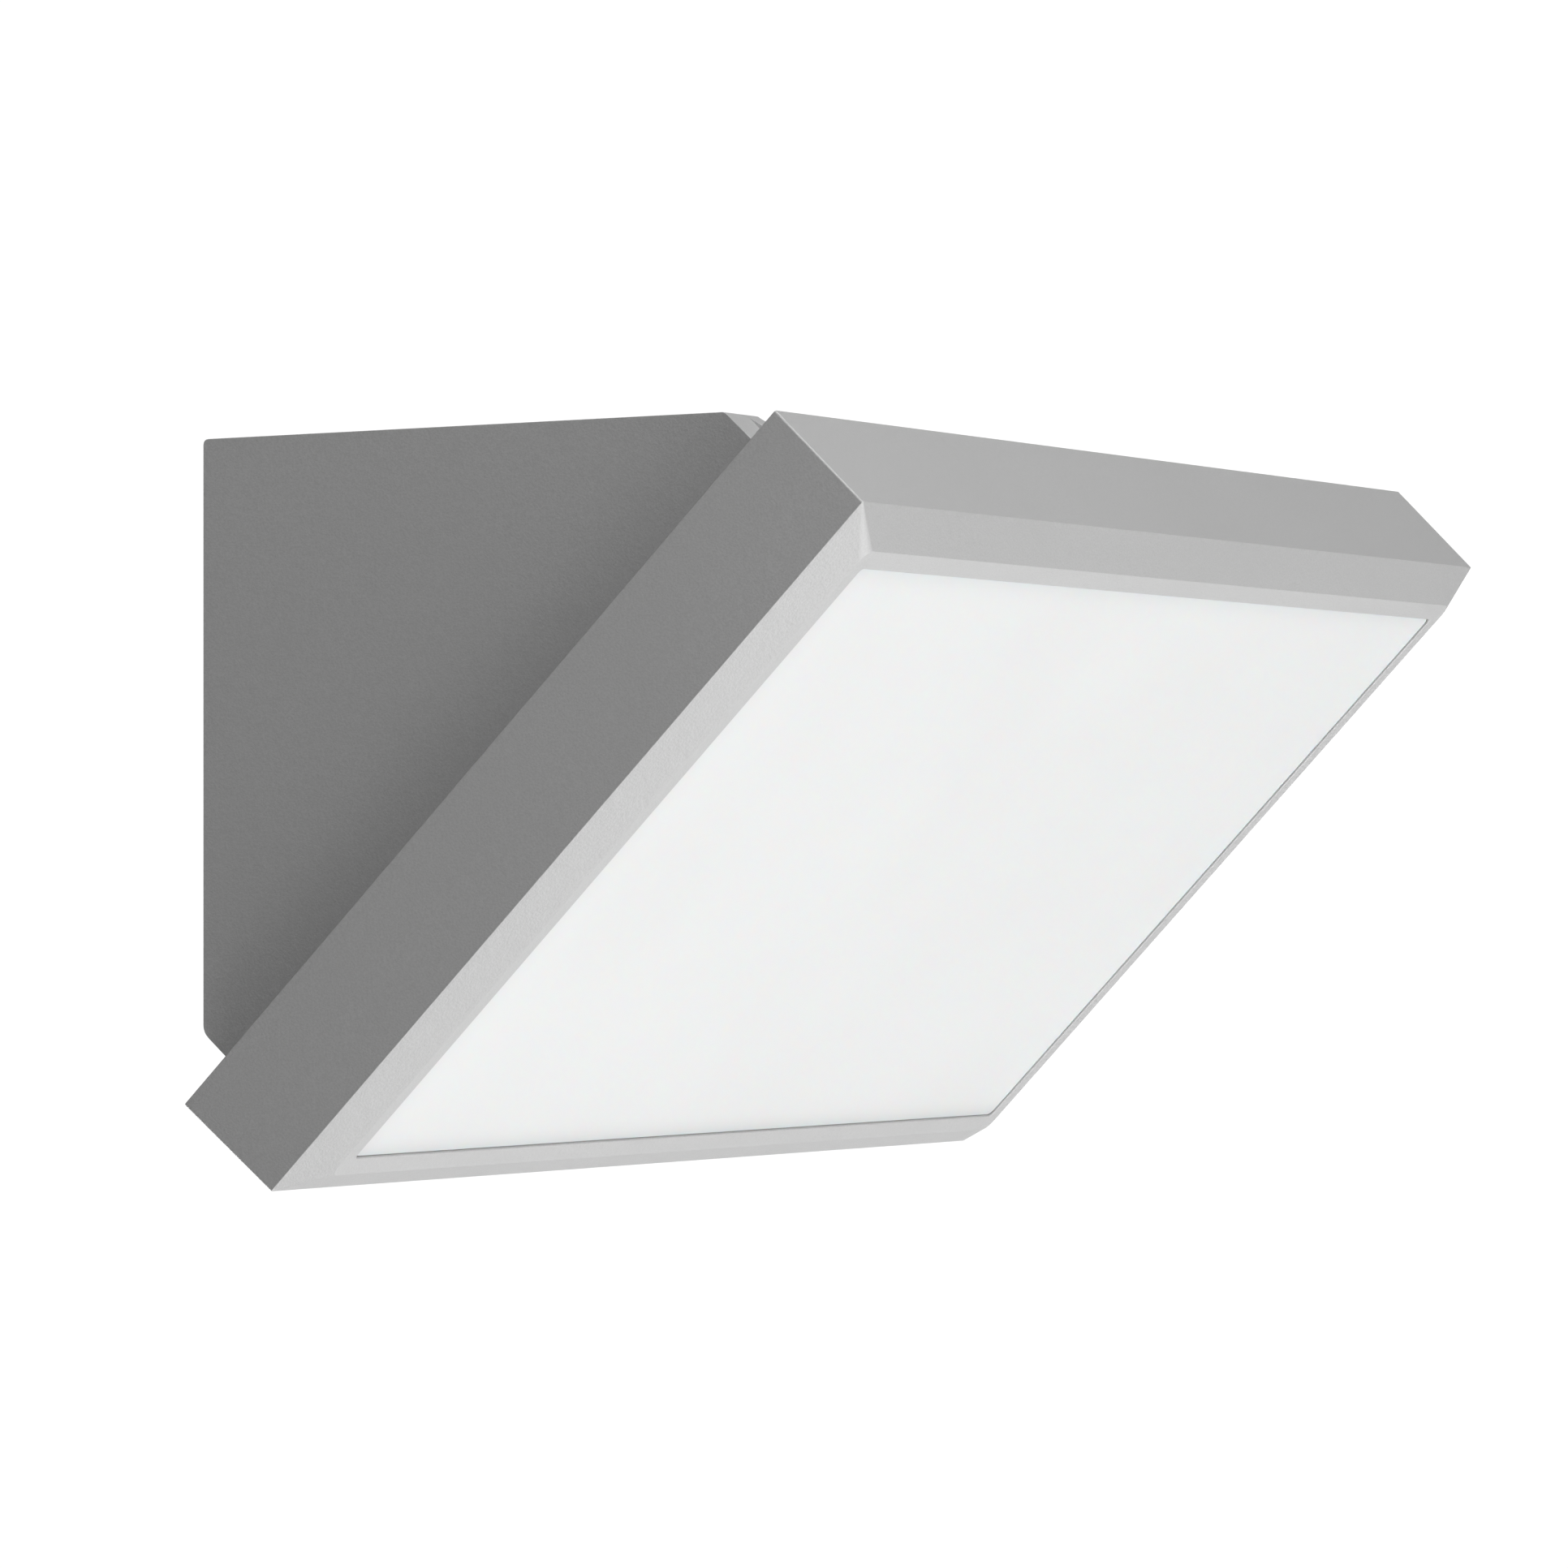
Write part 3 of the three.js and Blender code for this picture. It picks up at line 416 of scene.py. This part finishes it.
def head_frame():
    """The head's casting: draught sides, bezel, flat strip and the step that holds the diffuser's seal."""
    edge = 0.12 * MM
    window_edge = 0.3 * MM
    strip_back_n = 22.3 * MM
    step_out = 7.6 * MM
    slope_foot_n = 19.6 * MM
    side_wall = 3 * MM
    rim_wall = 1.5 * MM
    rim_n = 4 * MM
    corners = [
        (-DRAFT, 0, edge), (0, HEAD_DEPTH, edge), (BEZEL_INSET, FRONT_N, edge),
        (STRIP_OFFSET, FRONT_N, window_edge), (STRIP_OFFSET, strip_back_n, 0), (step_out, strip_back_n, 0),
        (side_wall, slope_foot_n, 0), (side_wall, rim_n, 0), (rim_wall, rim_n, 0), (rim_wall, 0, edge)]
    mesh = swept_frame("head_frame_finished", corners, frame_corner_radius)
    piece = new_piece(mesh.name, mesh, "head", ["powder_coat", "powder_coat_edge"], ("head_frame",))
    smooth(piece)


def diffuser():
    """The opal panel: a thin-walled tray with a flange behind the strip, a little right of centre."""
    gap = 0.08 * MM
    wall = 2.2 * MM
    edge = 0.06 * MM
    corner_radius = 1.5 * MM
    shift_right = 0.07 * MM
    middle = HEAD_HEIGHT / 2 - 2.5 * MM
    face_n = FRONT_N - DIFFUSER_RECESS
    out = STRIP_OFFSET + gap
    back_n, flange_n, flange_out = 18.9 * MM, 20.6 * MM, 8.2 * MM
    corners = [
        (middle, face_n - wall, 0), (out + wall, face_n - wall, 0), (out + wall, back_n, 0),
        (flange_out, back_n, 0), (flange_out, flange_n, 0), (out, flange_n, 0), (out, face_n, edge),
        (middle, face_n, 0)]
    mesh = swept_frame("diffuser_finished", corners, lambda offset: corner_radius, False, shift_right)
    piece = new_piece(mesh.name, mesh, "head", ["opal", "opal"], ("diffuser",))
    smooth(piece)


def slab(name, low, high, radius, body, material, edge=0.3 * MM):
    """A rounded plate that faces the room, between two corners."""
    bm = bmesh.new()
    centre_x, centre_z = (low.x + high.x) / 2, (low.z + high.z) / 2
    outline = rounded_outline(high.x - low.x, high.z - low.z, radius)
    back = bm.faces.new([bm.verts.new((centre_x + x, high.y, centre_z + z)) for x, z in outline])
    front = bmesh.ops.extrude_face_region(bm, geom=[back])
    front_points = [v for v in front["geom"] if isinstance(v, bmesh.types.BMVert)]
    bmesh.ops.translate(bm, vec=(0, low.y - high.y, 0), verts=front_points)
    bmesh.ops.recalc_face_normals(bm, faces=bm.faces)
    mesh = bpy.data.meshes.new(name)
    bm.to_mesh(mesh)
    bm.free()
    piece = new_piece(name, mesh, body, [material])
    smooth(piece, edge)


def driver_details():
    """A blank rating label and cooling ribs on the driver's lid."""
    low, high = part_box("led_driver")
    lid_y = low.y
    label_end, label_side = 46 * MM, 5 * MM
    rib_width, rib_pitch, rib_side = 2.4 * MM, 6.4 * MM, 6 * MM
    left_ribs, right_ribs = 13 * MM, 41 * MM
    label_low = Vector((low.x + label_end, lid_y - 0.12 * MM, low.z + label_side))
    label_high = Vector((high.x - label_end, lid_y + 0.1 * MM, high.z - label_side))
    slab("driver_label", label_low, label_high, 1.5 * MM, "housing", "label_film", 0.04 * MM)
    for side, start in (("left", low.x + left_ribs), ("right", high.x - right_ribs)):
        for i in range(5):
            x = start + i * rib_pitch
            slab(
                f"driver_rib_{side}_{i + 1}", Vector((x, lid_y - 0.6 * MM, low.z + rib_side)),
                Vector((x + rib_width, lid_y + 0.2 * MM, high.z - rib_side)), 1.1 * MM,
                "housing", "white_plastic", 0.25 * MM)


def terminal_screws():
    """Slotted clamp screws at the bottom of the terminal block's wells."""
    low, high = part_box("terminal_block")
    centre = (low + high) / 2
    radius, depth, half_slot = 1.9 * MM, 1.6 * MM, 0.35 * MM
    slot_depth, floor_depth = 0.9 * MM, 0.6 * MM
    way_pitch, end_offset = 12 * MM, 4 * MM
    face_y = low.y + 3.4 * MM
    for way in (-1, 0, 1):
        for end in (-1, 1):
            bm = bmesh.new()
            x0, z0 = centre.x + way * way_pitch, centre.z + end * end_offset
            for half in (-1, 1):
                first = math.asin(half_slot / radius)
                arc = [first + (math.pi - 2 * first) * i / 14 for i in range(15)]
                ring = [
                    bm.verts.new((x0 + radius * math.cos(a), face_y, z0 + half * radius * math.sin(a)))
                    for a in arc]
                face = bm.faces.new(ring)
                moved = bmesh.ops.extrude_face_region(bm, geom=[face])["geom"]
                bmesh.ops.translate(
                    bm, vec=(0, depth, 0), verts=[v for v in moved if isinstance(v, bmesh.types.BMVert)])
            facing_room = Matrix.Rotation(math.pi / 2, 4, "X")
            slot_floor = Matrix.Translation((x0, face_y + slot_depth, z0)) @ facing_room
            floor = bmesh.ops.create_circle(
                bm, cap_ends=True, radius=radius * 0.98, segments=28,
                matrix=slot_floor)
            disc = list({f for v in floor["verts"] for f in v.link_faces})
            moved = bmesh.ops.extrude_face_region(bm, geom=disc)["geom"]
            bmesh.ops.translate(
                bm, vec=(0, floor_depth, 0), verts=[v for v in moved if isinstance(v, bmesh.types.BMVert)])
            bmesh.ops.recalc_face_normals(bm, faces=bm.faces)
            mesh = bpy.data.meshes.new(f"terminal_clamp_screw_{way + 2}_{'low' if end < 0 else 'high'}")
            bm.to_mesh(mesh)
            bm.free()
            piece = new_piece(mesh.name, mesh, "housing", ["zinc_steel"])
            smooth(piece, 0.08 * MM)


def smooth_route(points, steps=12):
    """Points of a smooth curve through the given ones."""
    padded = [points[0] * 2 - points[1], *points, points[-1] * 2 - points[-2]]
    route = []
    for i in range(1, len(padded) - 2):
        p0, p1, p2, p3 = padded[i - 1:i + 3]
        for step in range(steps):
            t = step / steps
            route.append(0.5 * (
                2 * p1 + (p2 - p0) * t + (2 * p0 - 5 * p1 + 4 * p2 - p3) * t * t
                + (3 * p1 - p0 - 3 * p2 + p3) * t ** 3))
    route.append(points[-1].copy())
    return route


def tube_mesh(name, route, radius, sides=20):
    """A capped round tube along a route, without twist."""
    bm = bmesh.new()
    rings = []
    across = None
    for i, point in enumerate(route):
        along = (route[min(i + 1, len(route) - 1)] - route[max(i - 1, 0)]).normalized()
        across = along.orthogonal() if across is None else across - along * across.dot(along)
        across.normalize()
        other = along.cross(across)
        ring = []
        for j in range(sides):
            angle = 2 * math.pi * j / sides
            ring.append(bm.verts.new(point + (across * math.cos(angle) + other * math.sin(angle)) * radius))
        rings.append(ring)
    for ring, following in zip(rings, rings[1:]):
        for j in range(sides):
            k = (j + 1) % sides
            bm.faces.new((ring[j], ring[k], following[k], following[j]))
    bm.faces.new(rings[0])
    bm.faces.new(rings[-1])
    bmesh.ops.recalc_face_normals(bm, faces=bm.faces)
    mesh = bpy.data.meshes.new(name)
    bm.to_mesh(mesh)
    bm.free()
    return mesh


def jumper_lead():
    """The flexible lead from the driver into the head, built as one fixed tube that rides on no body."""
    entry_v = 90.8 * MM  # the lead grommet's place up the slope
    radius = 1.9 * MM
    route = smooth_route([
        Vector((65.3, -14, 33)) * MM, Vector((74, -14, 33)) * MM, Vector((79, -26, 24)) * MM,
        Vector((63, -40, 12)) * MM, Vector((33, -44, 14)) * MM, Vector((8, -48, 26)) * MM,
        slope_point(0, entry_v, -12 * MM), slope_point(0, entry_v, -4 * MM),
        slope_point(0, entry_v, 8.4 * MM)])
    mesh = tube_mesh("jumper_lead_finished", route, radius)
    piece = new_piece(mesh.name, mesh, None, ["lead_white"], ("jumper_lead",))
    for polygon in mesh.polygons:
        polygon.use_smooth = len(polygon.vertices) == 4
    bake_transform(piece)


head_frame()
diffuser()
refined("housing_casting", 0.1 * MM, ["powder_coat", "powder_coat_edge"], shortest=0.12 * MM)
refined("rear_cover", 0.2 * MM, ["powder_coat", "powder_coat_edge"])
refined("wall_plate", 0.15 * MM)
refined("led_driver", 0.5 * MM, segments=3)
refined("terminal_block", 0.2 * MM)
driver_details()
terminal_screws()
jumper_lead()

for node, piece in frame["nodes"].items():
    piece.data.materials.clear()
    piece.data.materials.append(MATERIALS[NODE_SLOTS[node]])


# ---- stage and light ----
FLOOR_GLOW = 0.75
FLOOR_RADIUS = 5
FLOOR_Z = -1.9


def add_floor():
    """A plain pale floor well below the lantern; only the camera sees its soft glow."""
    bm = bmesh.new()
    bmesh.ops.create_circle(bm, cap_ends=True, radius=FLOOR_RADIUS, segments=96)
    mesh = bpy.data.meshes.new("floor")
    bm.to_mesh(mesh)
    bm.free()
    floor = bpy.data.objects.new("floor", mesh)
    floor.location = (0, -0.1, FLOOR_Z)
    bpy.context.collection.objects.link(floor)
    material, shader, n = new_material("floor", Roughness=0.7)
    tone = n.mix(n.spread(n.noise(3, 2.0), 0, 1), grey(0.8), grey(0.84))
    n.link(tone, shader.inputs["Base Color"])
    n.link(tone, shader.inputs["Emission Color"])
    seen = n.add("ShaderNodeLightPath").outputs["Is Camera Ray"]
    n.link(n.spread(seen, 0, FLOOR_GLOW, 0, 1), shader.inputs["Emission Strength"])
    mesh.materials.append(material)


# each light: azimuth in degrees (0 from behind the wall, 90 from the right, 180 from the room), elevation,
# distance and size in metres, and watts
LIGHTS = {
    "above": (180, 82, 2.0, 1.4, 16.2),
    "front_high": (180, 45, 2.0, 1.4, 19.8),
    "front_low": (180, -42, 2.0, 1.4, 18.1),
    "front_left": (225, 5, 2.0, 1.4, 4.1),
    "left_near": (250, 25, 0.9, 0.5, 1.7),
    "left_below": (260, -60, 1.0, 0.6, 1.7),
    "right_low": (125, -38, 2.0, 1.4, 17.8),
    "behind_low": (20, -45, 1.6, 0.8, 19.6),
}
WORLD_STRENGTH = 0.06
SEEN_WHITE = 1.05


def add_lights():
    centre = Vector((0, -0.06, -0.01))
    for name, (azimuth, elevation, distance, size, watts) in LIGHTS.items():
        a, e = math.radians(azimuth), math.radians(elevation)
        direction = Vector((math.sin(a) * math.cos(e), math.cos(a) * math.cos(e), math.sin(e)))
        data = bpy.data.lights.new(name, "AREA")
        data.shape = "DISK"
        data.size = size
        data.energy = watts
        light = bpy.data.objects.new(name, data)
        light.location = centre + direction * distance
        light.rotation_euler = direction.to_track_quat("Z", "Y").to_euler()
        light.visible_camera = False
        bpy.context.collection.objects.link(light)


def add_world():
    """Soft even light; the camera sees the background as plain white."""
    world = bpy.data.worlds.new("studio")
    bpy.context.scene.world = world
    world.use_nodes = True
    n = Nodes(world.node_tree)
    background = world.node_tree.nodes["Background"]
    background.inputs["Color"].default_value = (1, 1, 1, 1)
    seen = n.add("ShaderNodeLightPath").outputs["Is Camera Ray"]
    n.link(n.spread(seen, WORLD_STRENGTH, SEEN_WHITE, 0, 1), background.inputs["Strength"])


add_floor()
add_lights()
add_world()
bpy.context.scene.view_settings.view_transform = "Standard"
